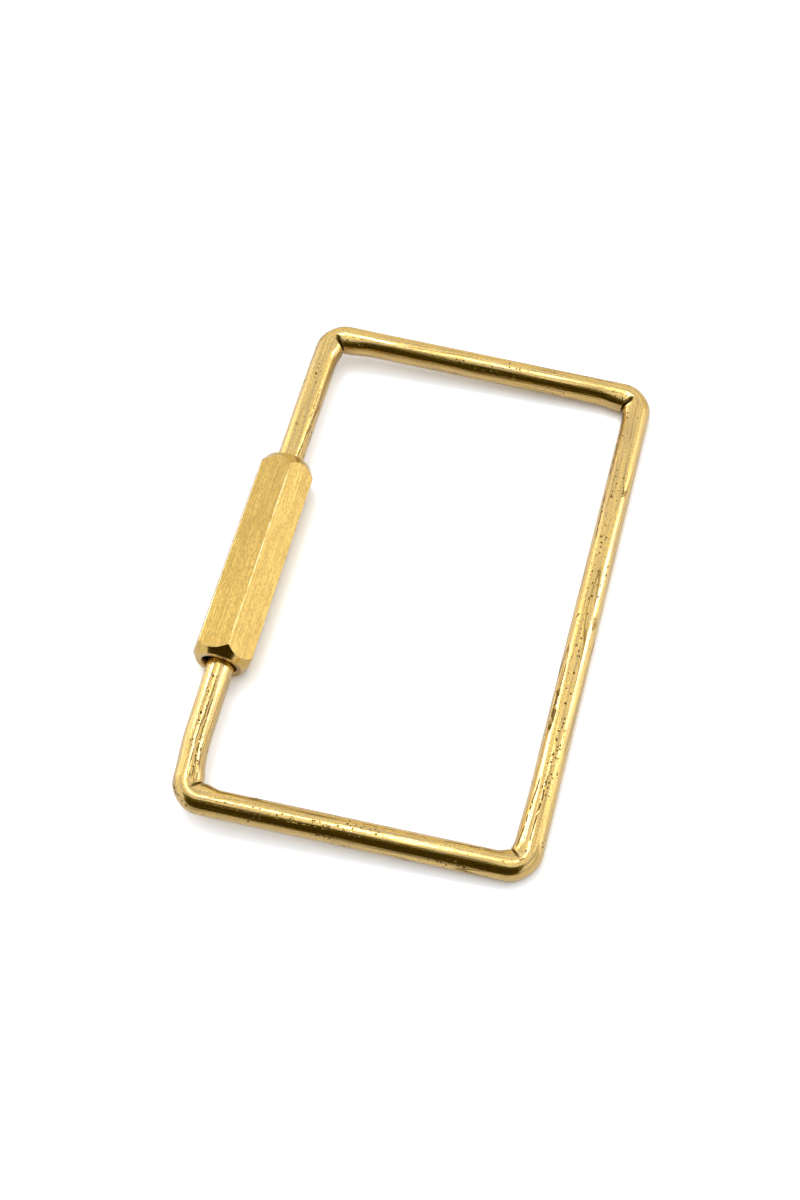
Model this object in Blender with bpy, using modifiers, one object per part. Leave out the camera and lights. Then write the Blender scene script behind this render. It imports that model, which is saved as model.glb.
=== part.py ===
"""Key ring: one bent brass wire, closed by a hexagonal screw sleeve on one long side.

Metres, +Z up. The ring lies on the surface z = 0, on its far long side and on the lowest
edge of the sleeve, with the sleeve's axis along Y and the threaded leg towards +Y.
Everything is drawn in the ring's own plane, whose X runs from the sleeve to the far side,
and an empty then lays that plane down on the surface.
"""
import math

import bmesh
import bpy
from mathutils import Matrix, Vector

# Wire and ring
WIRE_DIAMETER = 0.0040
RING_WIDTH = 0.0486              # sleeve axis to the middle of the far side's wire
RING_LENGTH = 0.0788             # between the middles of the short sides, beside the sleeve
BEND_RADIUS = 0.0026             # to the middle of the wire
FAR_CORNER_RISE = 0.0015         # bent by hand: the plain leg's side runs this much uphill

# Outside of the sleeve
HEX_ACROSS_FLATS = 0.0080
HEX_TURN = math.radians(12.5)    # where the sleeve stops when it is screwed tight
SLEEVE_LENGTH = 0.0342
THREADED_LEG_SHOWING = 0.0244    # middle of the short side's wire to the sleeve
MOUTH_FACE_DIAMETER = 0.0068     # flat ring left at the bored end
MOUTH_CHAMFER = 0.0016           # along the sleeve, at a corner
TAPPED_FACE_DIAMETER = 0.0070    # flat ring left at the tapped end
TAPPED_CHAMFER = 0.0020

# Screw thread, and how the two legs fit inside the sleeve
THREAD_PITCH = 0.0007
THREAD_DEPTH = 0.00038
THREAD_CREST_WIDTH = 0.00012
THREAD_LENGTH = 0.0063
THREAD_START = 0.0004            # plain wire that enters the sleeve before the thread
THREAD_STEP = 0.00005            # from the wire's surface down to the thread's crests
TAPPED_LENGTH = 0.0070
TAPPED_CLEARANCE = 0.00006       # radial, from the wire to the tapped hole's crests
COUNTERSINK = 0.0003
BORE_CLEARANCE = 0.0006          # radial, from the plain leg to the bore
SHOULDER_LENGTH = 0.0004         # cone between the bore and the tapped hole
SLEEVE_TRAVEL = 0.0120
STOP_GAP = 0.0002                # left between shoulder and plain leg at full travel
LEG_RUNNING_GAP = 0.0001         # left beside the leaning leg at full travel
END_CHAMFER = 0.0003             # round both ends of the wire's plain surface

# Smoothness
WIRE_SIDES = 24                  # an even number
BEND_STEPS = 8
TURNED_STEPS = 48
THREAD_STEPS = 20

# What follows from the sizes above
WIRE_RADIUS = WIRE_DIAMETER / 2
HEX_CORNER_RADIUS = HEX_ACROSS_FLATS / math.sqrt(3)
AXIS_X = -RING_WIDTH / 2
SLEEVE_TOP = RING_LENGTH / 2 - THREADED_LEG_SHOWING
SLEEVE_BOTTOM = SLEEVE_TOP - SLEEVE_LENGTH
THREAD_TOP = SLEEVE_TOP - THREAD_START
THREAD_TIP = THREAD_TOP - THREAD_LENGTH
PLAIN_TIP = SLEEVE_TOP - TAPPED_LENGTH - SHOULDER_LENGTH - SLEEVE_TRAVEL - STOP_GAP
LEG_LEAN = (BORE_CLEARANCE - LEG_RUNNING_GAP) / (PLAIN_TIP - SLEEVE_BOTTOM + SLEEVE_TRAVEL)
BORE_RADIUS = WIRE_RADIUS + BORE_CLEARANCE
TAPPED_RADIUS = WIRE_RADIUS + TAPPED_CLEARANCE
THREAD_CREST = WIRE_RADIUS - THREAD_STEP
THREAD_ROOT = THREAD_CREST - THREAD_DEPTH
OVERSHOOT = 0.001                # how far a cutter runs past what it cuts
SEAT_OVERLAP = 0.00005           # how far a thread's inner face sinks into a plain hole
WELD = 1e-6
BRASS = (0.80, 0.56, 0.22)


def clear_scene():
    for item in list(bpy.data.objects):
        bpy.data.objects.remove(item, do_unlink=True)


def new_collection(name):
    collection = bpy.data.collections.new(name)
    bpy.context.scene.collection.children.link(collection)
    return collection


def new_object(name, data, collection):
    item = bpy.data.objects.new(name, data)
    collection.objects.link(item)
    return item


def brass(name, roughness):
    material = bpy.data.materials.new(name)
    material.use_nodes = True
    shader = material.node_tree.nodes["Principled BSDF"]
    shader.inputs["Base Color"].default_value = (*BRASS, 1.0)
    shader.inputs["Metallic"].default_value = 1.0
    shader.inputs["Roughness"].default_value = roughness
    return material


def line_mesh(name, points):
    """One open line of (radius, height) points, for a Screw modifier to turn."""
    mesh = bpy.data.meshes.new(name)
    edges = [(step, step + 1) for step in range(len(points) - 1)]
    mesh.from_pydata([(radius, 0.0, height) for radius, height in points], edges, [])
    return mesh


def screwed(name, points, steps, collection):
    """A line carried once round Z, with the surface's ends merged."""
    item = new_object(name, line_mesh(name, points), collection)
    screw = item.modifiers.new("screw", 'SCREW')
    screw.steps = steps
    screw.render_steps = steps
    screw.use_merge_vertices = True
    screw.merge_threshold = WELD
    return item, screw


def turned(name, profile, collection):
    """A solid turned about Z from a profile that runs from its top to its bottom."""
    item, _ = screwed(name, profile, TURNED_STEPS, collection)
    return item


def made_real(item):
    """Swap a curve or modifiers for the mesh that they make, welded and facing out."""
    bpy.context.view_layer.update()
    depsgraph = bpy.context.evaluated_depsgraph_get()
    mesh = bpy.data.meshes.new_from_object(item.evaluated_get(depsgraph))
    name, matrix, collection = item.name, item.matrix_world.copy(), item.users_collection[0]
    bpy.data.objects.remove(item, do_unlink=True)
    mesh.name = name
    solid = new_object(name, mesh, collection)
    solid.matrix_world = matrix
    work = bmesh.new()
    work.from_mesh(mesh)
    bmesh.ops.remove_doubles(work, verts=work.verts, dist=WELD)
    close_on_axis(work)
    bmesh.ops.recalc_face_normals(work, faces=work.faces)
    work.to_mesh(mesh)
    work.free()
    return solid


def close_on_axis(work):
    """Close each open rim of a thread with a fan of faces round a point on the Z axis."""
    open_edges = {edge for edge in work.edges if edge.is_boundary}
    while open_edges:
        rim = [open_edges.pop()]
        for edge in rim:
            joined = {other for vert in edge.verts for other in vert.link_edges} & open_edges
            open_edges -= joined
            rim.extend(joined)
        corners = {vert for edge in rim for vert in edge.verts}
        middle = sum(vert.co.z for vert in corners) / len(corners)
        centre = work.verts.new((0.0, 0.0, middle))
        for edge in rim:
            work.faces.new((edge.verts[0], edge.verts[1], centre))


def thread(name, root, crest, low, high, collection):
    """A solid threaded rod about Z that reaches from below one height to above another."""
    flank = (THREAD_PITCH - THREAD_CREST_WIDTH) / 2
    start = low - THREAD_PITCH
    tooth = [
        (root, start + THREAD_PITCH),
        (crest, start + THREAD_PITCH - flank),
        (crest, start + flank),
        (root, start),
    ]
    item, screw = screwed(name, tooth, THREAD_STEPS, collection)
    screw.screw_offset = THREAD_PITCH
    screw.iterations = math.ceil((high - start) / THREAD_PITCH)
    return made_real(item)


def boolean(item, tool, operation):
    """Combine an object with a tool, which is kept out of sight and of the part."""
    tool.hide_render = True
    tool.display_type = 'WIRE'
    modifier = item.modifiers.new(tool.name, 'BOOLEAN')
    modifier.operation = operation
    modifier.solver = 'EXACT'
    modifier.object = tool


def point_along_y(item, y):
    """Lay an object that was made about Z along the sleeve's axis, with its z = 0 at y."""
    item.rotation_euler = (math.radians(-90.0), 0.0, 0.0)
    item.location = (AXIS_X, y, 0.0)


def leg_x(y):
    """Middle of the plain leg, which leans inwards from the middle of the bore."""
    return AXIS_X + LEG_LEAN * (PLAIN_TIP - y)


def ring_corners():
    """Where the middle lines of the straight runs meet, from the thread to the plain tip."""
    half = RING_LENGTH / 2
    return [
        Vector((AXIS_X, THREAD_TOP)),
        Vector((AXIS_X, half)),
        Vector((-AXIS_X, half)),
        Vector((-AXIS_X, FAR_CORNER_RISE - half)),
        Vector((leg_x(-half), -half)),
        Vector((AXIS_X, PLAIN_TIP)),
    ]


def bend(before, corner, after):
    """Points of the arc that rounds one corner of the middle line."""
    back = (before - corner).normalized()
    ahead = (after - corner).normalized()
    half_angle = back.angle(ahead) / 2
    centre = corner + (back + ahead).normalized() * (BEND_RADIUS / math.sin(half_angle))
    spoke = corner + back * (BEND_RADIUS / math.tan(half_angle)) - centre
    sweep = math.copysign(math.pi - 2 * half_angle, ahead.cross(back))
    turns = [Matrix.Rotation(sweep * step / BEND_STEPS, 2) for step in range(BEND_STEPS + 1)]
    return [centre + turn @ spoke for turn in turns]


def middle_line():
    """The wire's middle line, with a point for the chamfer next to each end."""
    corners = ring_corners()
    inner = [point for three in zip(corners, corners[1:], corners[2:]) for point in bend(*three)]
    first, last = corners[0], corners[-1]
    after_first = first + (corners[1] - first).normalized() * END_CHAMFER
    before_last = last + (corners[-2] - last).normalized() * END_CHAMFER
    return [first, after_first, *inner, before_last, last]


def bent_wire(points, collection):
    curve = bpy.data.curves.new("wire_frame", 'CURVE')
    curve.dimensions = '3D'
    curve.bevel_depth = WIRE_RADIUS
    curve.bevel_resolution = (WIRE_SIDES - 4) // 2
    curve.use_fill_caps = True
    spline = curve.splines.new('POLY')
    spline.points.add(len(points) - 1)
    for spot, point in zip(spline.points, points):
        spot.co = (point.x, point.y, 0.0, 1.0)
    for end in (0, -1):
        spline.points[end].radius = 1.0 - END_CHAMFER / WIRE_RADIUS
    return made_real(new_object("wire_frame", curve, collection))


def add_male_thread(frame, cutters):
    """Join the threaded end to the wire's +Y leg, with a cone to lead it in."""
    buried = 2 * THREAD_PITCH
    top = THREAD_LENGTH + buried
    outside = THREAD_CREST + OVERSHOOT
    blank = turned("thread_blank", [
        (0.0, top),
        (outside, top),
        (outside, outside - THREAD_ROOT),
        (THREAD_ROOT, 0.0),
        (0.0, 0.0),
    ], cutters)
    screw = thread("male_thread", THREAD_ROOT, THREAD_CREST, 0.0, top, cutters)
    boolean(screw, blank, 'INTERSECT')
    for item in (screw, blank):
        item.parent = frame
        point_along_y(item, THREAD_TIP)
    boolean(frame, screw, 'UNION')


def hex_bar(collection):
    """A length of hexagon bar about Z, from z = 0 up."""
    work = bmesh.new()
    bmesh.ops.create_cone(work, cap_ends=True, segments=6, radius1=HEX_CORNER_RADIUS,
                          radius2=HEX_CORNER_RADIUS, depth=SLEEVE_LENGTH)
    corner_to_x = math.radians(30.0)
    bmesh.ops.rotate(work, verts=work.verts, matrix=Matrix.Rotation(corner_to_x - HEX_TURN, 3, 'Z'))
    bmesh.ops.translate(work, verts=work.verts, vec=(0.0, 0.0, SLEEVE_LENGTH / 2))
    mesh = bpy.data.meshes.new("hex_sleeve")
    work.to_mesh(mesh)
    work.free()
    return new_object("hex_sleeve", mesh, collection)


def end_cones(collection):
    """A round bar coned at both ends, which the hexagon bar is trimmed to."""
    mouth = MOUTH_FACE_DIAMETER / 2
    tapped = TAPPED_FACE_DIAMETER / 2
    mouth_slope = MOUTH_CHAMFER / (HEX_CORNER_RADIUS - mouth)
    tapped_slope = TAPPED_CHAMFER / (HEX_CORNER_RADIUS - tapped)
    outside = HEX_CORNER_RADIUS + OVERSHOOT
    return turned("end_cones", [
        (0.0, SLEEVE_LENGTH),
        (tapped, SLEEVE_LENGTH),
        (outside, SLEEVE_LENGTH - tapped_slope * (outside - tapped)),
        (outside, mouth_slope * (outside - mouth)),
        (mouth, 0.0),
        (0.0, 0.0),
    ], collection)


def stepped_hole(collection):
    """Countersink, tapped hole's crests, shoulder and bore, from the top down."""
    top = SLEEVE_LENGTH + OVERSHOOT
    shoulder = SLEEVE_LENGTH - TAPPED_LENGTH
    return turned("stepped_hole", [
        (0.0, top),
        (TAPPED_RADIUS + COUNTERSINK + OVERSHOOT, top),
        (TAPPED_RADIUS, SLEEVE_LENGTH - COUNTERSINK),
        (TAPPED_RADIUS, shoulder),
        (BORE_RADIUS, shoulder - SHOULDER_LENGTH),
        (BORE_RADIUS, -OVERSHOOT),
        (0.0, -OVERSHOOT),
    ], collection)


def hex_sleeve(parts, cutters):
    """The sleeve, with its origin on its axis at the bored end."""
    sleeve = hex_bar(parts)
    cones = end_cones(cutters)
    hole = stepped_hole(cutters)
    tap = thread("female_thread", TAPPED_RADIUS - SEAT_OVERLAP, TAPPED_RADIUS + THREAD_DEPTH,
                 SLEEVE_LENGTH - TAPPED_LENGTH, SLEEVE_LENGTH + OVERSHOOT, cutters)
    boolean(sleeve, cones, 'INTERSECT')
    boolean(sleeve, hole, 'DIFFERENCE')
    boolean(sleeve, tap, 'DIFFERENCE')
    for tool in (cones, hole, tap):
        tool.parent = sleeve
    point_along_y(sleeve, SLEEVE_BOTTOM)
    return sleeve


def hex_corners():
    """The hexagon's corners seen along the axis, as (x, z) in the ring's plane."""
    turns = [HEX_TURN + math.radians(60.0 * step) for step in range(6)]
    return [(AXIS_X + HEX_CORNER_RADIUS * math.cos(turn), HEX_CORNER_RADIUS * math.sin(turn))
            for turn in turns]


def lie_angle():
    """How far the ring leans about Y when the far wire and a sleeve edge both touch down.

    Seen along Y, the surface is the common tangent of the far wire's circle and a corner.
    """
    angles = []
    for x, z in hex_corners():
        if z < 0.0:
            across, drop = -AXIS_X - x, -z
            angles.append(math.atan2(drop, across) - math.asin(WIRE_RADIUS / math.hypot(across, drop)))
    return max(angles)


def lay_down(plane, points):
    """Stand the ring's plane on z = 0 with the middle of the whole ring over the origin."""
    angle = lie_angle()
    plane.rotation_euler = (0.0, angle, 0.0)
    cosine, sine = math.cos(angle), math.sin(angle)
    left = min(x * cosine + z * sine for x, z in hex_corners())
    right = -AXIS_X * cosine + WIRE_RADIUS
    front = min(point.y for point in points) - WIRE_RADIUS
    back = max(point.y for point in points) + WIRE_RADIUS
    far_wire_height = AXIS_X * sine
    plane.location = (-(left + right) / 2, -(front + back) / 2, WIRE_RADIUS - far_wire_height)


def smooth(item):
    item.data.shade_smooth()
    item.data.set_sharp_from_angle(angle=math.radians(30.0))


def main():
    clear_scene()
    parts = new_collection("key_ring")
    cutters = new_collection("cutters")
    plane = new_object("ring_plane", None, parts)
    points = middle_line()

    frame = bent_wire(points, parts)
    add_male_thread(frame, cutters)
    frame.data.materials.append(brass("wire_brass", 0.32))

    sleeve = hex_sleeve(parts, cutters)
    sleeve.data.materials.append(brass("sleeve_brass", 0.38))

    for item in (frame, sleeve):
        item.parent = plane
        smooth(item)
    lay_down(plane, points)


main()
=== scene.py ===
"""Looks of the brass key ring: the drawn wire, the screw sleeve, the table, light and camera.

Metres. Both pieces are shaped in the ring's own plane, as the solids are, and then laid
down with it. The plane's X runs from the sleeve to the far side, its Y along the sleeve.
"""
import math

import bmesh
import bpy
from mathutils import Matrix, Vector, noise


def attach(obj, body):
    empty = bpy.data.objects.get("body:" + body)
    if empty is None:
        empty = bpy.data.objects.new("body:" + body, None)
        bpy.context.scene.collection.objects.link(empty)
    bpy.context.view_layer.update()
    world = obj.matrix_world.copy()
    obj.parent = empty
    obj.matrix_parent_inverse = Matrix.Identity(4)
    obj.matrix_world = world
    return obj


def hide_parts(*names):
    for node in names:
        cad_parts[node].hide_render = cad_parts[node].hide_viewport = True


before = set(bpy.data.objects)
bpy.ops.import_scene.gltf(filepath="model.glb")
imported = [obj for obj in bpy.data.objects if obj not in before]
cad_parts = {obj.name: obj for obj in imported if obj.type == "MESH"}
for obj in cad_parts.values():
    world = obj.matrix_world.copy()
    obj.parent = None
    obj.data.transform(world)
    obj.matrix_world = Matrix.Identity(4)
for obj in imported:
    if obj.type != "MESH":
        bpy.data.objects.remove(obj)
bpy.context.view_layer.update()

MM = 0.001

# Wire and ring, as in the solids
WIRE_RADIUS = 2.0 * MM
RING_WIDTH = 48.6 * MM
RING_LENGTH = 78.8 * MM
BEND_RADIUS = 2.6 * MM
FAR_CORNER_RISE = 1.5 * MM
LEG_LEAN = 0.018797
PLAIN_TIP = -4.6 * MM
THREAD_TIP = 8.3 * MM
THREAD_TOP = 14.6 * MM
END_CHAMFER = 0.3 * MM
AXIS_X = -RING_WIDTH / 2

# Screw thread
THREAD_PITCH = 0.7 * MM
THREAD_CREST = 1.95 * MM
THREAD_ROOT = 1.57 * MM
THREAD_CREST_WIDTH = 0.12 * MM

# Sleeve
HEX_APOTHEM = 4.0 * MM
HEX_TURN = math.radians(12.5)
SLEEVE_LENGTH = 34.2 * MM
SLEEVE_BOTTOM = -19.2 * MM
MOUTH_FACE = 3.4 * MM
MOUTH_CHAMFER = 1.6 * MM
TAPPED_FACE = 3.5 * MM
TAPPED_CHAMFER = 2.0 * MM
TAPPED_LENGTH = 7.0 * MM
TAPPED_RADIUS = 2.06 * MM
TAPPED_DEPTH = 0.38 * MM
COUNTERSINK = 0.3 * MM
SHOULDER_LENGTH = 0.4 * MM
BORE_RADIUS = 2.6 * MM
LONG_EDGE_ROUND = 0.10 * MM
END_EDGE_ROUND = 0.06 * MM
MOUTH_LIP = 0.08 * MM

# Marks of bending by hand, at each bend in turn from the threaded leg: how many degrees wide
# its crease is, how deep, and where the squeezed metal stands in (side, how far in, how long)
BEFORE, AFTER = -1, 1
BENDS = [
    (11.0, 0.95 * MM, [(BEFORE, 0.40 * MM, 2.2 * MM), (AFTER, 0.40 * MM, 4.5 * MM)]),
    (8.5, 0.95 * MM, [(BEFORE, 0.46 * MM, 3.6 * MM), (AFTER, 0.25 * MM, 1.6 * MM)]),
    (7.0, 0.70 * MM, [(BEFORE, 0.25 * MM, 9.0 * MM), (BEFORE, 0.28 * MM, 1.0 * MM),
                      (AFTER, 0.40 * MM, 1.5 * MM)]),
    (7.5, 0.70 * MM, [(BEFORE, 0.50 * MM, 2.8 * MM), (AFTER, 0.40 * MM, 3.0 * MM)]),
]
# How much wider than its crease the painted shade in it lies
CREASE_SHADE_SPREAD = 1.1

# Flattened outside of each bend, and how many degrees wide it is
OUTER_FLAT = 0.12 * MM
OUTER_FLAT_SPAN = 24.0

# How far the last corner is drawn in, and where that begins and ends before and after its bend
LEG_BOW = 0.45 * MM
BOW_BEFORE = (-14.0 * MM, -2.0 * MM)
BOW_AFTER = (1.5 * MM, 9.0 * MM)

# Unevenness of the drawn wire, all of which stays under its radius
SKIN_UNDER = 0.016 * MM
RIDGE_HEIGHT = 0.016 * MM
RIDGE_LENGTH = 9.0 * MM
HOLLOW_DEPTH = 0.012 * MM
HOLLOW_LENGTH = 5.0 * MM

# Marks on the wire: (along, degrees around, length, width, degrees it drifts for each mm)
SCRATCHES = [
    (12.0 * MM, 139.0, 10.0 * MM, 0.13 * MM, 2.0),
    (17.5 * MM, 128.0, 6.0 * MM, 0.08 * MM, 0.0),
    (89.0 * MM, 147.0, 9.0 * MM, 0.20 * MM, 0.0),
    (99.5 * MM, 141.0, 9.0 * MM, 0.14 * MM, -1.4),
    (127.0 * MM, 126.0, 6.0 * MM, 0.16 * MM, 0.0),
    (131.6 * MM, 130.0, 7.0 * MM, 0.56 * MM, 0.0),
    (145.5 * MM, 90.0, 12.0 * MM, 0.14 * MM, 1.0),
    (147.4 * MM, 127.0, 11.0 * MM, 0.18 * MM, 1.6),
    (160.8 * MM, 127.0, 9.0 * MM, 0.15 * MM, -0.6),
    (172.0 * MM, 124.0, 11.0 * MM, 0.07 * MM, 0.0),
    (196.0 * MM, 130.0, 8.0 * MM, 0.12 * MM, 1.0),
    (209.0 * MM, 114.0, 13.0 * MM, 0.10 * MM, 0.0),
    (207.5 * MM, 98.0, 11.0 * MM, 0.09 * MM, 0.4),
    (215.0 * MM, 104.0, 9.0 * MM, 0.09 * MM, -0.4),
    (206.0 * MM, 131.0, 8.0 * MM, 0.08 * MM, 0.0),
]
# Stretches of the wire where pits stand close, in the same terms
PITTED = [
    (98.0 * MM, 103.0, 14.0 * MM, 0.60 * MM, -0.5),
    (108.0 * MM, 98.0, 12.0 * MM, 0.80 * MM, -1.0),
    (115.8 * MM, 90.0, 9.0 * MM, 0.60 * MM, 0.4),
    (124.0 * MM, 92.0, 12.0 * MM, 0.70 * MM, 0.4),
    (131.0 * MM, 82.0, 11.0 * MM, 0.60 * MM, 0.4),
    (141.0 * MM, 80.0, 14.0 * MM, 0.70 * MM, 0.8),
    (186.0 * MM, 78.0, 22.0 * MM, 0.55 * MM, 0.0),
    (212.0 * MM, 88.0, 12.0 * MM, 0.60 * MM, 0.0),
    (205.0 * MM, 118.0, 9.0 * MM, 0.60 * MM, 0.0),
]

# Brass of the wire, from the bare metal to the painted shade in its creases
DRAWN_DEEP = (0.86, 0.535, 0.050)
DRAWN_PALE = (0.92, 0.615, 0.075)
STREAK_BROWN = (0.52, 0.30, 0.03)
PATCH_BROWN = (0.56, 0.36, 0.05)
SPECKLE_BROWN = (0.44, 0.26, 0.03)
TARNISH_BROWN = (0.40, 0.24, 0.03)
PIT_BROWN = (0.110, 0.058, 0.007)
# Colour of the painted shade in the bends' creases
CREASE_SHADE_COLOUR = (0.045, 0.030, 0.008)

# Brass of the sleeve, from the brushed flats to the painted shade down its bore
BRUSHED_PALE = (0.90, 0.60, 0.132)
BRUSHED_DEEP = (0.66, 0.42, 0.077)
BRUSHED_STREAK = (0.54, 0.33, 0.045)
BRUSHED_CLOUD = (0.50, 0.30, 0.040)
BRUSHED_GRIT = (0.42, 0.26, 0.040)
BRUSHED_SPECK = (0.24, 0.14, 0.03)
# Pale brass of worn edges, partly a painted highlight along them
WORN_EDGE_AND_HIGHLIGHT = (0.98, 0.80, 0.42)
# Colour of the painted shade down the bore
BORE_SHADE_COLOUR = (0.06, 0.035, 0.010)

# Clear film on each: (index of refraction, roughness)
WIRE_COAT = (2.3, 0.05)
SLEEVE_COAT = (1.6, 0.14)

# How the ring's plane lies on the table
PLANE_TILT = math.radians(2.7518089)
PLANE_PLACE = Vector((1.2760565, -0.0411607, 3.1666348)) * MM

# Fineness
WIRE_SIDES = 80
RUN_STEP = 0.45 * MM
BEND_STEPS = 30
THREAD_STEP = 0.05 * MM
EDGE_STEPS = 4
FLAT_STEPS = 12
FLAT_CROWDING = 0.12
# How much of the worn edge colour, partly a painted highlight, reaches the flats beside each edge
BESIDE_EDGE_WEAR = 0.7
CONE_ROWS = 5
SIDE_ROWS = 30
BORE_ROWS = 16

# Table top: its size, how far it lies under the ring, and its colour as light meets it,
# as the camera sees it near the ring and far off, and the distances between those two
TABLE_RADIUS = 1.5
TABLE_DROP = 0.02 * MM
TABLE_SIDES = 96
TABLE_LIT = (0.94, 0.92, 0.90)
TABLE_SEEN_NEAR = (1.63, 1.69, 1.77)
TABLE_SEEN_FAR = (3.5, 3.5, 3.5)
TABLE_NEAR, TABLE_FAR = 0.2, 0.8

# Lamps: (name, place, (width, height), brightness where 1 is white, seen in reflections)
SOFTBOXES = [
    ("back_softbox", (-0.14, 0.225, 0.93), (0.34, 0.09), 9.2, True),
    ("left_softbox", (-0.775, 0.375, 0.505), (0.056, 0.40), 9.8, True),
    ("right_softbox", (0.753, 0.44, 0.48), (0.07, 0.34), 8.4, True),
    ("left_wall", (-0.85, 0.32, 0.16), (0.44, 0.60), 0.60, True),
    ("right_wall", (0.85, 0.38, 0.16), (0.44, 0.60), 0.47, True),
    ("key_softbox", (0.0, 0.0, 0.95), (0.80, 0.80), 1.7, False),
]
# Cards that only reflections see: (name, half width, half height, degrees of tilt, place, glow)
CARDS = [
    ("dark_room", 0.756, 0.54, 53.0, (0.0, -0.625, 0.435), (0.042, 0.031, 0.004)),
    ("warm_wall", 1.60, 0.24, 90.0, (0.0, 1.20, 0.22), (0.92, 0.80, 0.42)),
]
# Brightness of the room: to the camera, in reflections, and as light
ROOM_SEEN, ROOM_MIRRORED, ROOM_LIGHT = 1.0, 0.96, 0.40

# Camera, at the photograph's viewing angle
LENS = 53.637
FILM_WIDTH = 36.0
NEAREST_SEEN = 0.01
CAMERA_PLACE = Vector((0.0444999, -0.1168417, 0.2286547))
CAMERA_RIGHT = Vector((0.9640835, 0.2578011, -0.0638875))
CAMERA_UP = Vector((-0.1980325, 0.8580143, 0.4739142))


def laid_down(work):
    """Turn and move a bmesh from the ring's plane to where the ring lies."""
    bmesh.ops.rotate(work, verts=work.verts, matrix=Matrix.Rotation(PLANE_TILT, 3, 'Y'))
    bmesh.ops.translate(work, verts=work.verts, vec=PLANE_PLACE)


def made_of(work, name, material):
    """An object of a bmesh and one material, in the scene."""
    mesh = bpy.data.meshes.new(name)
    work.to_mesh(mesh)
    work.free()
    mesh.materials.append(material)
    made = bpy.data.objects.new(name, mesh)
    bpy.context.scene.collection.objects.link(made)
    return made


def finished(work, name, material, body, node):
    """Make a piece of a bmesh: smooth, facing out, riding on its body in its node's place."""
    bmesh.ops.recalc_face_normals(work, faces=work.faces)
    for face in work.faces:
        face.smooth = True
    piece = made_of(work, name, material)
    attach(piece, body)
    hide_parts(node)


def smoothstep(low, high, value):
    """0 up to the low value, 1 from the high one, and smooth between them."""
    share = min(1.0, max(0.0, (value - low) / (high - low)))
    return share * share * (3.0 - 2.0 * share)


def swell_at(value, width):
    """1 at zero, falling away smoothly over this width on both sides."""
    return math.exp(-(value / width) ** 2)


class Swept:
    """A closed skin made by carrying one loop of points along, ring by ring."""

    def __init__(self, count, layers):
        self.work = bmesh.new()
        self.grain = self.work.verts.layers.float_vector.new("grain")
        self.layers = {name: self.work.verts.layers.float.new(name) for name in layers}
        self.loop = bmesh.ops.create_circle(self.work, segments=count, radius=1.0)["verts"]
        self.first = None

    def ring(self, points, grains, **values):
        """Extrude the last ring and put its points in their places."""
        if self.first:
            made = bmesh.ops.extrude_edge_only(self.work, edges=self.edges(self.loop))
            fresh = {item for item in made["geom"] if isinstance(item, bmesh.types.BMVert)}
            self.loop = [next(edge.other_vert(vert) for edge in vert.link_edges
                              if edge.other_vert(vert) in fresh) for vert in self.loop]
        else:
            self.first = self.loop
        for index, vert in enumerate(self.loop):
            vert.co = points[index]
            vert[self.grain] = grains[index]
            for name, layer in self.layers.items():
                vert[layer] = values[name][index]

    @staticmethod
    def edges(loop):
        """The edges that join a ring's points to each other."""
        return [next(edge for edge in vert.link_edges if edge.other_vert(vert) is loop[index - 1])
                for index, vert in enumerate(loop)]

    def cap(self, loop):
        """Close a ring with a fan of faces round its middle."""
        bmesh.ops.poke(self.work, faces=[self.work.faces.new(loop)])

    def join_ends(self):
        """Bridge the last ring to the first, so that the skin closes on itself."""
        bmesh.ops.bridge_loops(self.work, edges=self.edges(self.first) + self.edges(self.loop))


def ring_corners():
    """Where the middle lines of the straight runs meet, from the thread's tip to the plain tip."""
    half = RING_LENGTH / 2
    return [
        Vector((AXIS_X, THREAD_TIP)),
        Vector((AXIS_X, half)),
        Vector((-AXIS_X, half)),
        Vector((-AXIS_X, FAR_CORNER_RISE - half)),
        Vector((AXIS_X + LEG_LEAN * (PLAIN_TIP + half), -half)),
        Vector((AXIS_X, PLAIN_TIP)),
    ]


def stations():
    """Every ring of the wire as (middle, heading, length along), and every bend."""
    corners = ring_corners()
    rings = []
    bends = []
    along = 0.0
    at = corners[0]
    heading = (corners[1] - at).normalized()
    for number, corner in enumerate(corners[1:], 1):
        last = number == len(corners) - 1
        run = (corner - at).length
        if not last:
            ahead = (corners[number + 1] - corner).normalized()
            half_turn = heading.angle(ahead) / 2
            run -= BEND_RADIUS * math.tan(half_turn)
        reached = 0.0
        while reached < run - RUN_STEP / 4:
            rings.append((at + heading * reached, heading, along + reached))
            in_thread = number == 1 and reached < THREAD_TOP - THREAD_TIP + END_CHAMFER
            reached += THREAD_STEP if in_thread else RUN_STEP
        along += run
        at = at + heading * run
        if last:
            rings.append((at, heading, along))
            break
        centre = at + Vector((heading.y, -heading.x)) * BEND_RADIUS
        spoke = at - centre
        for count in range(BEND_STEPS):
            angle = 2 * half_turn * count / BEND_STEPS
            turn = Matrix.Rotation(-angle, 2)
            rings.append((centre + turn @ spoke, turn @ heading, along + BEND_RADIUS * angle))
        bends.append((along + BEND_RADIUS * half_turn, half_turn))
        at = centre + Matrix.Rotation(-2 * half_turn, 2) @ spoke
        heading = ahead
        along += BEND_RADIUS * 2 * half_turn
    return rings, bends


def thread_radius(around, along):
    """The threaded end's surface: crests, flanks and a cone that leads the thread in."""
    place = (along / THREAD_PITCH - around / (2 * math.pi)) % 1.0
    from_crest = abs(place - 0.5) * THREAD_PITCH - THREAD_CREST_WIDTH / 2
    flank = (THREAD_PITCH - THREAD_CREST_WIDTH) / 2
    share = min(1.0, max(0.0, from_crest / flank))
    tooth = THREAD_CREST + (THREAD_ROOT - THREAD_CREST) * share
    return min(tooth, THREAD_ROOT + along)


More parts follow.
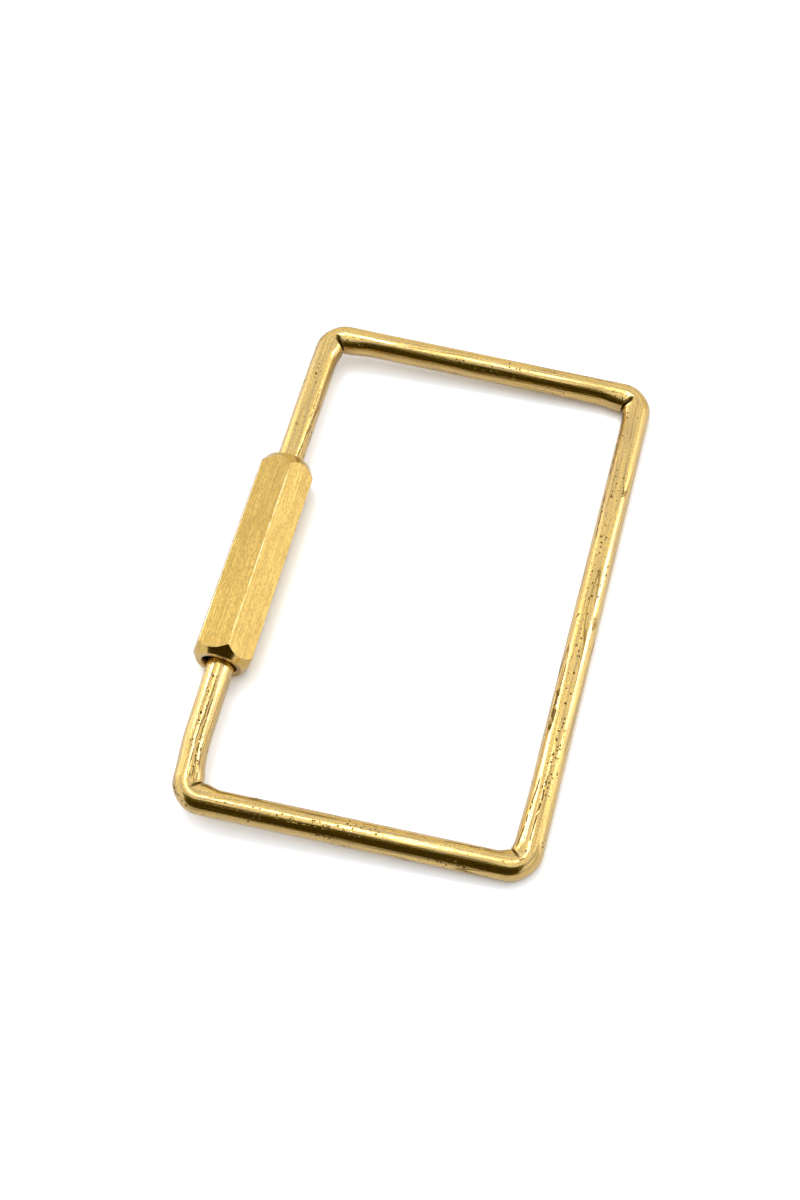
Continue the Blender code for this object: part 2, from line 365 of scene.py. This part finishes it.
def drawn_radius(around, along):
    """The plain wire's radius, uneven in long low ridges as drawing and handling leave it."""
    across = Vector((math.cos(around), math.sin(around), 0.0))
    ridges = noise.noise(across * 2.6 + Vector((0.0, 0.0, along / RIDGE_LENGTH)))
    hollows = noise.noise(across * 1.1 + Vector((5.0, 3.0, along / HOLLOW_LENGTH)))
    return WIRE_RADIUS - SKIN_UNDER + ridges * RIDGE_HEIGHT + hollows * HOLLOW_DEPTH


def wire_radius(around, along, wire_length):
    """The wire's radius anywhere: thread, chamfers and drawn surface."""
    plain_from = THREAD_TOP - THREAD_TIP
    if along < plain_from:
        return thread_radius(around, along)
    chamfered = WIRE_RADIUS - END_CHAMFER + min(along - plain_from, wire_length - along)
    drawn = min(drawn_radius(around, along), chamfered)
    if along < plain_from + END_CHAMFER:
        return max(drawn, thread_radius(around, along))
    return drawn


def pressed(around, gap, half_turn, crease, crease_depth, swells):
    """How far a bend and the wire beside it are pushed out from the ring's middle.

    The inside folds to a crease, and the metal squeezed there fills the corner beside it.
    """
    inner = -math.cos(around)
    beyond = abs(gap) - BEND_RADIUS * half_turn
    if inner < -0.3 and beyond > 0.0:
        return 0.0
    turn = math.degrees(gap / BEND_RADIUS)
    move = crease_depth * swell_at(turn, crease) * smoothstep(0.0, 0.75, inner)
    move -= OUTER_FLAT * swell_at(turn, OUTER_FLAT_SPAN) * smoothstep(0.3, 1.0, -inner)
    for side, depth, reach in swells:
        if side * gap >= 0.0:
            move -= depth * (1.0 - smoothstep(0.0, reach, beyond)) * smoothstep(0.2, 0.9, inner)
    return move


def folded(around, gap, crease):
    """How much a place lies in a bend's crease, where shade is painted in as a darker colour."""
    turn = math.degrees(gap / BEND_RADIUS)
    return swell_at(turn, crease * CREASE_SHADE_SPREAD) * smoothstep(0.05, 0.65, -math.cos(around))


def bowed(past_bend):
    """How far the last corner is drawn towards the ring's middle, with the wire beside it."""
    if past_bend < 0.0:
        return LEG_BOW * smoothstep(*BOW_BEFORE, past_bend)
    return LEG_BOW * (1.0 - smoothstep(*BOW_AFTER, past_bend))


def wire_piece(material):
    """The whole wire, swept from its threaded end round the ring to its plain end."""
    skin = Swept(WIRE_SIDES, ("fold",))
    rings, bends = stations()
    wire_length = rings[-1][2]
    arounds = [2 * math.pi * step / WIRE_SIDES for step in range(WIRE_SIDES)]
    for middle, heading, along in rings:
        outward = Vector((-heading.y, heading.x))
        middle = middle + Vector((bowed(along - bends[-1][0]), 0.0))
        beside = [(along - place, half_turn, *handwork)
                  for (place, half_turn), handwork in zip(bends, BENDS)
                  if abs(along - place) < 5 * BEND_RADIUS]
        points = []
        grains = []
        folds = []
        for around in arounds:
            radius = wire_radius(around, along, wire_length)
            side = radius * math.cos(around) + sum(pressed(around, *bend) for bend in beside)
            flat = middle + outward * side
            points.append(Vector((flat.x, flat.y, radius * math.sin(around))))
            grains.append(Vector((math.cos(around), math.sin(around), 0.0)) * WIRE_RADIUS)
            grains[-1].z = along
            # Each point's share of the painted shade in the creases beside it
            folds.append(sum(folded(around, bend[0], bend[2]) for bend in beside))
        skin.ring(points, grains, fold=folds)
    skin.cap(skin.first)
    skin.cap(skin.loop)
    laid_down(skin.work)
    finished(skin.work, "wire", material, "frame", "wire_frame")


def hexagon():
    """Points round the hexagon with rounded corners, each with its edge wear, which also carries a
    painted highlight.
    """
    points = []
    corner_distance = (HEX_APOTHEM - LONG_EDGE_ROUND) / math.cos(math.radians(30.0))
    for side in range(6):
        corner = HEX_TURN + math.radians(60.0 * side)
        normal = heading_at(corner + math.radians(30.0))
        start = heading_at(corner) * corner_distance
        stop = heading_at(corner + math.radians(60.0)) * corner_distance
        for step in range(EDGE_STEPS):
            turn = corner + math.radians(30.0) * step / EDGE_STEPS
            points.append((start + heading_at(turn) * LONG_EDGE_ROUND, 1.0))
        for step in range(FLAT_STEPS + 1):
            share = step / FLAT_STEPS
            share -= math.sin(2 * math.pi * share) * FLAT_CROWDING
            wear = BESIDE_EDGE_WEAR if step in (0, FLAT_STEPS) else 0.0
            points.append((start.lerp(stop, share) + normal * LONG_EDGE_ROUND, wear))
        for step in range(1, EDGE_STEPS):
            turn = corner + math.radians(30.0 + 30.0 * step / EDGE_STEPS)
            points.append((stop + heading_at(turn) * LONG_EDGE_ROUND, 1.0))
    return points


def heading_at(angle):
    """The way that points out at an angle."""
    return Vector((math.cos(angle), math.sin(angle)))


def end_rows(reach, face, chamfer):
    """Rows from the flat end ring over the cone to the hexagon's sides.

    Each is (place as radius and depth, wear with its painted edge highlight, how far it is turned
    rather than brushed).
    """
    corner_reach = HEX_APOTHEM / math.cos(math.radians(30.0))
    along_cone = Vector((corner_reach - face, chamfer)).normalized()
    rim = Vector((face, 0.0))
    top = rim + along_cone * ((reach - face) / along_cone.x)
    step = END_EDGE_ROUND
    rows = [
        (rim + Vector((-3.0, 0.0)) * step, 0.0, 1.0),
        (rim + Vector((-1.0, 0.0)) * step, 0.2, 1.0),
        (rim + Vector((-0.3, 0.12)) * step, 0.7, 1.0),
        (rim + along_cone * step, 0.2, 1.0),
    ]
    cone_start = rim + along_cone * step * 2
    cone_stop = top - along_cone * step * 2
    for number in range(CONE_ROWS):
        rows.append((cone_start.lerp(cone_stop, number / (CONE_ROWS - 1)), 0.0, 1.0))
    rows += [
        (top - along_cone * step, 0.4, 1.0),
        (top + Vector((-0.16, 0.0)) * step, 1.0, 0.5),
        (top + Vector((0.0, 1.0)) * step, 0.3, 0.0),
        (top + Vector((0.0, 3.0)) * step, 0.0, 0.0),
    ]
    return rows


def tapped_radius(around, height):
    """The tapped hole's surface, with its crests at the hole's plain radius."""
    place = (height / THREAD_PITCH - around / (2 * math.pi)) % 1.0
    from_deepest = abs(place - 0.5) * THREAD_PITCH - THREAD_CREST_WIDTH / 2
    flank = (THREAD_PITCH - THREAD_CREST_WIDTH) / 2
    share = min(1.0, max(0.0, from_deepest / flank))
    cut = TAPPED_RADIUS + TAPPED_DEPTH * (1.0 - share)
    countersunk = TAPPED_RADIUS + COUNTERSINK - (SLEEVE_LENGTH - height)
    return max(TAPPED_RADIUS, cut, countersunk)


def sleeve_piece(material):
    """The hexagonal sleeve: outside from the mouth to the tapped end, then back down the hole."""
    outline = hexagon()
    count = len(outline)
    ways = [point.normalized() for point, _ in outline]
    reaches = [point.length for point, _ in outline]
    side_wears = [wear for _, wear in outline]
    # inside is each point's share of the painted shade down the bore
    skin = Swept(count, ("wear", "turned", "inside"))

    def row(radii, heights, wears, turned, inside=0.0):
        spots = [(way * radius, height) for way, radius, height in zip(ways, radii, heights)]
        points = [Vector((AXIS_X + spot.x, SLEEVE_BOTTOM + height, spot.y))
                  for spot, height in spots]
        grains = [Vector((spot.x, spot.y, height)) for spot, height in spots]
        skin.ring(points, grains, wear=wears, turned=[turned] * count, inside=[inside] * count)

    def round_row(radius, height, wear=0.0, inside=0.0):
        row([radius] * count, [height] * count, [wear] * count, 1.0, inside)

    mouth = [end_rows(reach, MOUTH_FACE, MOUTH_CHAMFER) for reach in reaches]
    tapped = [end_rows(reach, TAPPED_FACE, TAPPED_CHAMFER) for reach in reaches]
    round_row(BORE_RADIUS, MOUTH_LIP, 0.3, 0.2)
    round_row(BORE_RADIUS + MOUTH_LIP, 0.0, 0.6)
    for rows in zip(*mouth):
        row([spot.x for spot, _, _ in rows], [spot.y for spot, _, _ in rows],
            [wear for _, wear, _ in rows], rows[0][2])
    low = [rows[-1][0].y for rows in mouth]
    high = [SLEEVE_LENGTH - rows[-1][0].y for rows in tapped]
    for number in range(1, SIDE_ROWS):
        share = number / SIDE_ROWS
        heights = [bottom + (top - bottom) * share for bottom, top in zip(low, high)]
        row(reaches, heights, side_wears, 0.0)
    for rows in reversed(list(zip(*tapped))):
        row([spot.x for spot, _, _ in rows], [SLEEVE_LENGTH - spot.y for spot, _, _ in rows],
            [wear for _, wear, _ in rows], rows[0][2])
    arounds = [math.atan2(way.x, way.y) for way in ways]
    shoulder = SLEEVE_LENGTH - TAPPED_LENGTH
    height = SLEEVE_LENGTH
    while height > shoulder:
        row([tapped_radius(around, height) for around in arounds], [height] * count, [0.0] * count,
            1.0, smoothstep(0.0, 1.0, (SLEEVE_LENGTH - height) / MM))
        height -= THREAD_STEP
    round_row(TAPPED_RADIUS, shoulder, 0.0, 1.0)
    for number in range(BORE_ROWS):
        height = (shoulder - SHOULDER_LENGTH) * (1.0 - number / BORE_ROWS)
        round_row(BORE_RADIUS, height, 0.0, 1.0)
    skin.join_ends()
    laid_down(skin.work)
    finished(skin.work, "sleeve", material, "sleeve", "hex_sleeve")


def put(tree, kind, sockets=None, **settings):
    """Add a node. A value that is a socket is linked, and any other is set."""
    made = tree.nodes.new("ShaderNode" + kind)
    for name, value in settings.items():
        setattr(made, name, value)
    for name, value in (sockets or {}).items():
        if isinstance(value, bpy.types.NodeSocket):
            tree.links.new(value, made.inputs[name])
        else:
            made.inputs[name].default_value = value
    return made


def carried(tree, name):
    """A number that the piece's own points carry."""
    return put(tree, "Attribute", attribute_name=name).outputs["Fac"]


def grain_of(tree):
    """Where a place is on its piece: across in X and Y, and along in Z."""
    return put(tree, "Attribute", attribute_name="grain").outputs["Vector"]


def stretched(tree, across, along, shift):
    """The grain in units this wide across the piece and this long along it."""
    scale = (1 / across, 1 / across, 1 / along)
    return put(tree, "Mapping", {"Vector": grain_of(tree), "Scale": scale,
                                 "Location": (shift, shift, shift)}).outputs[0]


def marks(tree, across, along, detail, shift, roughness=0.5):
    """Noise along the grain, in marks about this wide and this long."""
    return put(tree, "TexNoise", {"Vector": stretched(tree, across, along, shift), "Scale": 1.0,
                                  "Detail": detail, "Roughness": roughness}).outputs["Fac"]


def ramp(tree, value, low, high, out_low=0.0, out_high=1.0):
    """One range turned smoothly into another."""
    return put(tree, "MapRange", {"Value": value, "From Min": low, "From Max": high,
                                  "To Min": out_low, "To Max": out_high},
               interpolation_type='SMOOTHSTEP').outputs[0]


def reckon(tree, operation, one, other=0.0):
    """One sum with one or two numbers."""
    return put(tree, "Math", {0: one, 1: other}, operation=operation).outputs[0]


def product(tree, one, other):
    """Two numbers multiplied."""
    return reckon(tree, 'MULTIPLY', one, other)


def along_way(tree, vector, way):
    """How far a vector reaches along a way."""
    return put(tree, "VectorMath", {0: vector, 1: way}, operation='DOT_PRODUCT').outputs["Value"]


def blend(tree, share, one, other):
    """Mix two colours."""
    made = tree.nodes.new("ShaderNodeMix")
    made.data_type = 'RGBA'
    for socket, value in ((made.inputs[0], share), (made.inputs[6], one), (made.inputs[7], other)):
        if isinstance(value, bpy.types.NodeSocket):
            tree.links.new(value, socket)
        else:
            socket.default_value = value if isinstance(value, float) else (*value, 1.0)
    return made.outputs[2]


def layered(tree, colour, *layers):
    """A colour with others laid over it in turn, each as (share, colour)."""
    for share, tint in layers:
        colour = blend(tree, share, colour, tint)
    return colour


def pits(tree, cell, small, large, shown, shift):
    """Round specks scattered one to a cell, of which this share shows."""
    cells = put(tree, "TexVoronoi", {"Vector": stretched(tree, cell, cell, shift), "Scale": 1.0})
    chance = put(tree, "SeparateColor", {"Color": cells.outputs["Color"]}).outputs[0]
    here = ramp(tree, chance, shown, shown - 0.02)
    return product(tree, ramp(tree, cells.outputs["Distance"], large, small), here)


def hairlines(tree, across, along, width, shift):
    """Thin lines that run with the grain, where a stretched noise passes its middle."""
    field = marks(tree, across, along, 0.0, shift)
    off = reckon(tree, 'ABSOLUTE', reckon(tree, 'SUBTRACT', field, 0.5))
    return ramp(tree, off, width, width * 0.2)


def mark(tree, along, around, length, width, drift):
    """1 on a long narrow place on the wire, and 0 away from it."""
    grain = grain_of(tree)
    angle = math.radians(around)
    lean = math.radians(drift) * WIRE_RADIUS / MM
    from_middle = put(tree, "VectorMath", {0: grain, 1: (0.0, 0.0, along)},
                      operation='SUBTRACT').outputs[0]
    across = along_way(tree, from_middle, (-math.sin(angle), math.cos(angle), -lean))
    facing = along_way(tree, grain, (math.cos(angle), math.sin(angle), 0.0))
    lengthwise = along_way(tree, from_middle, (0.0, 0.0, 1.0))
    waver = reckon(tree, 'SUBTRACT', marks(tree, MM, 2.0 * MM, 2.0, around), 0.5)
    off = reckon(tree, 'ABSOLUTE', reckon(tree, 'ADD', across, product(tree, waver, width * 2)))
    near = ramp(tree, off, width, width * 0.3)
    within = ramp(tree, reckon(tree, 'ABSOLUTE', lengthwise), length * 0.55, length * 0.35)
    this_side = ramp(tree, facing, 0.0, WIRE_RADIUS / 2)
    return product(tree, product(tree, near, within), this_side)


def most(tree, *values):
    """The largest of some values."""
    largest = values[0]
    for value in values[1:]:
        largest = reckon(tree, 'MAXIMUM', largest, value)
    return largest


def total(tree, *parts):
    """Sum of (value, weight) pairs."""
    whole = 0.0
    for value, weight in parts:
        whole = put(tree, "Math", {0: value, 1: weight, 2: whole},
                    operation='MULTIPLY_ADD').outputs[0]
    return whole


def new_material(name):
    material = bpy.data.materials.new(name)
    material.use_nodes = True
    return material, material.node_tree, material.node_tree.nodes["Principled BSDF"]


def finish_brass(tree, shader, coat, dirt_and_shade, height):
    """Bare metal under the thin clear film of handling and air, gone where it is dirty and where
    shade is painted.
    """
    shader.inputs["Metallic"].default_value = 1.0
    shader.inputs["Coat IOR"].default_value, shader.inputs["Coat Roughness"].default_value = coat
    tree.links.new(ramp(tree, dirt_and_shade, 0.0, 1.0, 1.0, 0.08), shader.inputs["Coat Weight"])
    relief = put(tree, "Bump", {"Height": height, "Strength": 1.0, "Distance": MM}).outputs[0]
    tree.links.new(relief, shader.inputs["Normal"])
    tree.links.new(relief, shader.inputs["Coat Normal"])


def wire_brass():
    """Drawn brass wire: lengthwise streaks, thin dark lines, pits and brown tarnish."""
    material, tree, shader = new_material("wire_brass")
    # Painted shade in the bends' creases: it darkens the colour, roughens and takes the coat away
    fold = carried(tree, "fold")
    fine = marks(tree, 0.24 * MM, 9.0 * MM, 2.0, 1.0)
    broad = marks(tree, 0.9 * MM, 22.0 * MM, 2.0, 4.0)
    skin = marks(tree, 0.15 * MM, 0.20 * MM, 2.0, 7.0)
    mottle = ramp(tree, marks(tree, 0.28 * MM, 0.40 * MM, 3.0, 27.0, 0.6), 0.52, 0.62)
    stain = ramp(tree, marks(tree, 0.50 * MM, 11.0 * MM, 4.0, 9.0), 0.48, 0.66)
    patch = ramp(tree, marks(tree, 2.4 * MM, 6.0 * MM, 4.0, 19.0), 0.46, 0.70)
    speckle = ramp(tree, skin, 0.52, 0.66)
    worn = ramp(tree, marks(tree, 4.0 * MM, 14.0 * MM, 2.0, 12.0), 0.42, 0.56)
    lines = product(tree, hairlines(tree, 1.3 * MM, 26.0 * MM, 0.022, 3.0), worn)
    small_pits = pits(tree, 0.40 * MM, 0.26, 0.44, 0.30, 2.0)
    large_pits = pits(tree, 0.75 * MM, 0.18, 0.30, 0.30, 5.0)
    freckles = pits(tree, 0.32 * MM, 0.20, 0.50, 0.34, 9.0)
    clusters = most(tree, *(mark(tree, *place) for place in PITTED),
                    ramp(tree, marks(tree, 1.2 * MM, 8.0 * MM, 2.0, 15.0), 0.57, 0.63))
    specks = product(tree, most(tree, small_pits, large_pits), clusters)
    specks = ramp(tree, specks, 0.12, 0.50)
    broken = ramp(tree, marks(tree, 0.20 * MM, 0.9 * MM, 2.0, 22.0), 0.38, 0.50)
    scratched = most(tree, *(mark(tree, *place) for place in SCRATCHES))
    cracks = ramp(tree, product(tree, scratched, broken), 0.15, 0.60)
    dark = most(tree, product(tree, lines, 0.7), specks, cracks)
    # Real dark marks together with the painted crease shade
    dirt_and_shade = most(tree, dark, fold)

    colour = layered(
        tree, blend(tree, ramp(tree, broad, 0.3, 0.7), DRAWN_DEEP, DRAWN_PALE),
        (ramp(tree, fine, 0.44, 0.64, 0.0, 0.65), STREAK_BROWN),
        (product(tree, patch, 0.25), PATCH_BROWN),
        (product(tree, stain, 0.60), TARNISH_BROWN),
        (product(tree, speckle, 0.60), SPECKLE_BROWN),
        (product(tree, mottle, 0.50), SPECKLE_BROWN),
        (product(tree, freckles, 0.45), TARNISH_BROWN),
        (product(tree, dark, 0.94), PIT_BROWN),
        # the painted shade in the creases, laid over all
        (product(tree, fold, 0.95), CREASE_SHADE_COLOUR))
    tree.links.new(colour, shader.inputs["Base Color"])

    streaked = ramp(tree, fine, 0.25, 0.75, 0.17, 0.26)
    rough = total(tree, (streaked, 1.0), (stain, 0.06), (dirt_and_shade, 0.2))
    tree.links.new(rough, shader.inputs["Roughness"])
    height = total(tree, (fine, 0.026), (broad, 0.030), (skin, 0.014), (cracks, -0.03),
                   (specks, -0.02))
    finish_brass(tree, shader, WIRE_COAT, dirt_and_shade, height)
    return material


def sleeve_brass():
    """Milled hexagon bar: satin with fine brush marks, turned ends, bright worn edges whose pale
    colour is partly a painted highlight, and painted shade down the bore.
    """
    material, tree, shader = new_material("sleeve_brass")
    turned = carried(tree, "turned")
    # Painted shade down the bore: it darkens the colour, roughens and takes the coat away
    inside = carried(tree, "inside")
    wear = carried(tree, "wear")
    flats = reckon(tree, 'SUBTRACT', 1.0, turned)
    brush = marks(tree, 0.13 * MM, 5.5 * MM, 4.0, 1.0)
    streak = marks(tree, 0.24 * MM, 16.0 * MM, 3.0, 5.0)
    cloud = marks(tree, 1.6 * MM, 3.4 * MM, 6.0, 8.0, 0.70)
    grit = marks(tree, 0.16 * MM, 0.60 * MM, 2.0, 11.0)
    specks = product(tree, pits(tree, 0.9 * MM, 0.05, 0.12, 0.6, 6.0), 0.7)
    # Worn edges: real wear, paler also as a painted highlight
    worn = product(tree, wear, ramp(tree, marks(tree, 0.5 * MM, 1.2 * MM, 3.0, 2.0), 0.35, 0.6))

    colour = layered(
        tree, blend(tree, ramp(tree, brush, 0.38, 0.62), BRUSHED_PALE, BRUSHED_DEEP),
        (ramp(tree, streak, 0.45, 0.68, 0.0, 0.35), BRUSHED_STREAK),
        (ramp(tree, cloud, 0.46, 0.62, 0.0, 0.38), BRUSHED_CLOUD),
        (ramp(tree, grit, 0.46, 0.62, 0.0, 0.50), BRUSHED_GRIT),
        (product(tree, specks, 0.8), BRUSHED_SPECK),
        (product(tree, worn, 0.8), WORN_EDGE_AND_HIGHLIGHT),
        # the painted shade down the bore
        (inside, BORE_SHADE_COLOUR))
    tree.links.new(colour, shader.inputs["Base Color"])

    brushed = ramp(tree, brush, 0.25, 0.75, 0.22, 0.32)
    rough = total(tree, (brushed, flats), (turned, 0.17), (worn, -0.06), (inside, 0.2))
    tree.links.new(rough, shader.inputs["Roughness"])
    height = total(tree, (brush, 0.008), (streak, 0.006), (cloud, 0.01), (grit, 0.005),
                   (specks, -0.02))
    height = product(tree, height, ramp(tree, flats, 0.0, 1.0, 0.25, 1.0))
    # The coat is taken away where the bore's shade is painted
    finish_brass(tree, shader, SLEEVE_COAT, inside, height)
    return material


def table():
    """A glossy white table top, which the camera sees as plain white where no shadow falls."""
    material, tree, shader = new_material("table_white")
    to_camera = put(tree, "LightPath").outputs["Is Camera Ray"]
    place = put(tree, "TexCoord").outputs["Object"]
    distance = put(tree, "VectorMath", {0: place}, operation='LENGTH').outputs["Value"]
    far_off = ramp(tree, distance, TABLE_NEAR, TABLE_FAR)
    seen = blend(tree, far_off, TABLE_SEEN_NEAR, TABLE_SEEN_FAR)
    tree.links.new(blend(tree, to_camera, TABLE_LIT, seen), shader.inputs["Base Color"])
    shader.inputs["Roughness"].default_value = 0.3
    shader.inputs["Specular IOR Level"].default_value = 0.25
    work = bmesh.new()
    bmesh.ops.create_circle(work, cap_ends=True, segments=TABLE_SIDES, radius=TABLE_RADIUS)
    bmesh.ops.translate(work, verts=work.verts, vec=(0.0, 0.0, -TABLE_DROP))
    top = made_of(work, "table_top", material)


def softbox(name, place, size, brightness, in_gloss):
    """A square lamp that faces the ring."""
    data = bpy.data.lights.new(name, 'AREA')
    data.shape = 'RECTANGLE'
    data.size, data.size_y = size
    data.energy = brightness * math.pi * size[0] * size[1]
    lamp = bpy.data.objects.new(name, data)
    bpy.context.scene.collection.objects.link(lamp)
    lamp.location = place
    lamp.rotation_euler = (-Vector(place)).to_track_quat('-Z', 'Y').to_euler()
    lamp.visible_camera = False
    lamp.visible_glossy = in_gloss


def card(name, half_width, half_height, tilt, place, glow):
    """A plain card that only the metal's reflections see, of an even colour."""
    material, _, shader = new_material(name)
    shader.inputs["Base Color"].default_value = (0.0, 0.0, 0.0, 1.0)
    shader.inputs["Roughness"].default_value = 1.0
    shader.inputs["Specular IOR Level"].default_value = 0.0
    shader.inputs["Emission Color"].default_value = (*glow, 1.0)
    shader.inputs["Emission Strength"].default_value = 1.0
    work = bmesh.new()
    bmesh.ops.create_grid(work, x_segments=1, y_segments=1, size=1.0)
    bmesh.ops.scale(work, verts=work.verts, vec=(half_width, half_height, 1.0))
    bmesh.ops.rotate(work, verts=work.verts, matrix=Matrix.Rotation(math.radians(tilt), 3, 'X'))
    bmesh.ops.translate(work, verts=work.verts, vec=place)
    sheet = made_of(work, name, material)
    sheet.visible_camera = False
    sheet.visible_diffuse = False
    sheet.visible_shadow = False


def light():
    """The pale room, its lamps and its cards."""
    world = bpy.data.worlds.new("studio")
    bpy.context.scene.world = world
    world.use_nodes = True
    tree = world.node_tree
    path = put(tree, "LightPath").outputs
    mirrored = reckon(tree, 'MAXIMUM', path["Is Glossy Ray"], path["Is Transmission Ray"])
    extra = total(tree, (path["Is Camera Ray"], ROOM_SEEN - ROOM_LIGHT),
                  (mirrored, ROOM_MIRRORED - ROOM_LIGHT))
    background = tree.nodes["Background"]
    background.inputs["Color"].default_value = (1.0, 1.0, 1.0, 1.0)
    tree.links.new(reckon(tree, 'ADD', extra, ROOM_LIGHT), background.inputs["Strength"])
    for lamp in SOFTBOXES:
        softbox(*lamp)
    for sheet in CARDS:
        card(*sheet)


def camera():
    """The camera that took the photograph, as nearly as the ring in it tells."""
    data = bpy.data.cameras.new("camera")
    data.sensor_width = FILM_WIDTH
    data.sensor_fit = 'AUTO'
    data.lens = LENS
    data.clip_start = NEAREST_SEEN
    seat = bpy.data.objects.new("camera", data)
    bpy.context.scene.collection.objects.link(seat)
    back = CAMERA_RIGHT.cross(CAMERA_UP)
    turned = Matrix((CAMERA_RIGHT, CAMERA_UP, back)).transposed().to_4x4()
    turned.translation = CAMERA_PLACE
    seat.matrix_world = turned
    bpy.context.scene.camera = seat


bpy.context.scene.view_settings.view_transform = 'Standard'
wire_piece(wire_brass())
sleeve_piece(sleeve_brass())
table()
light()
camera()
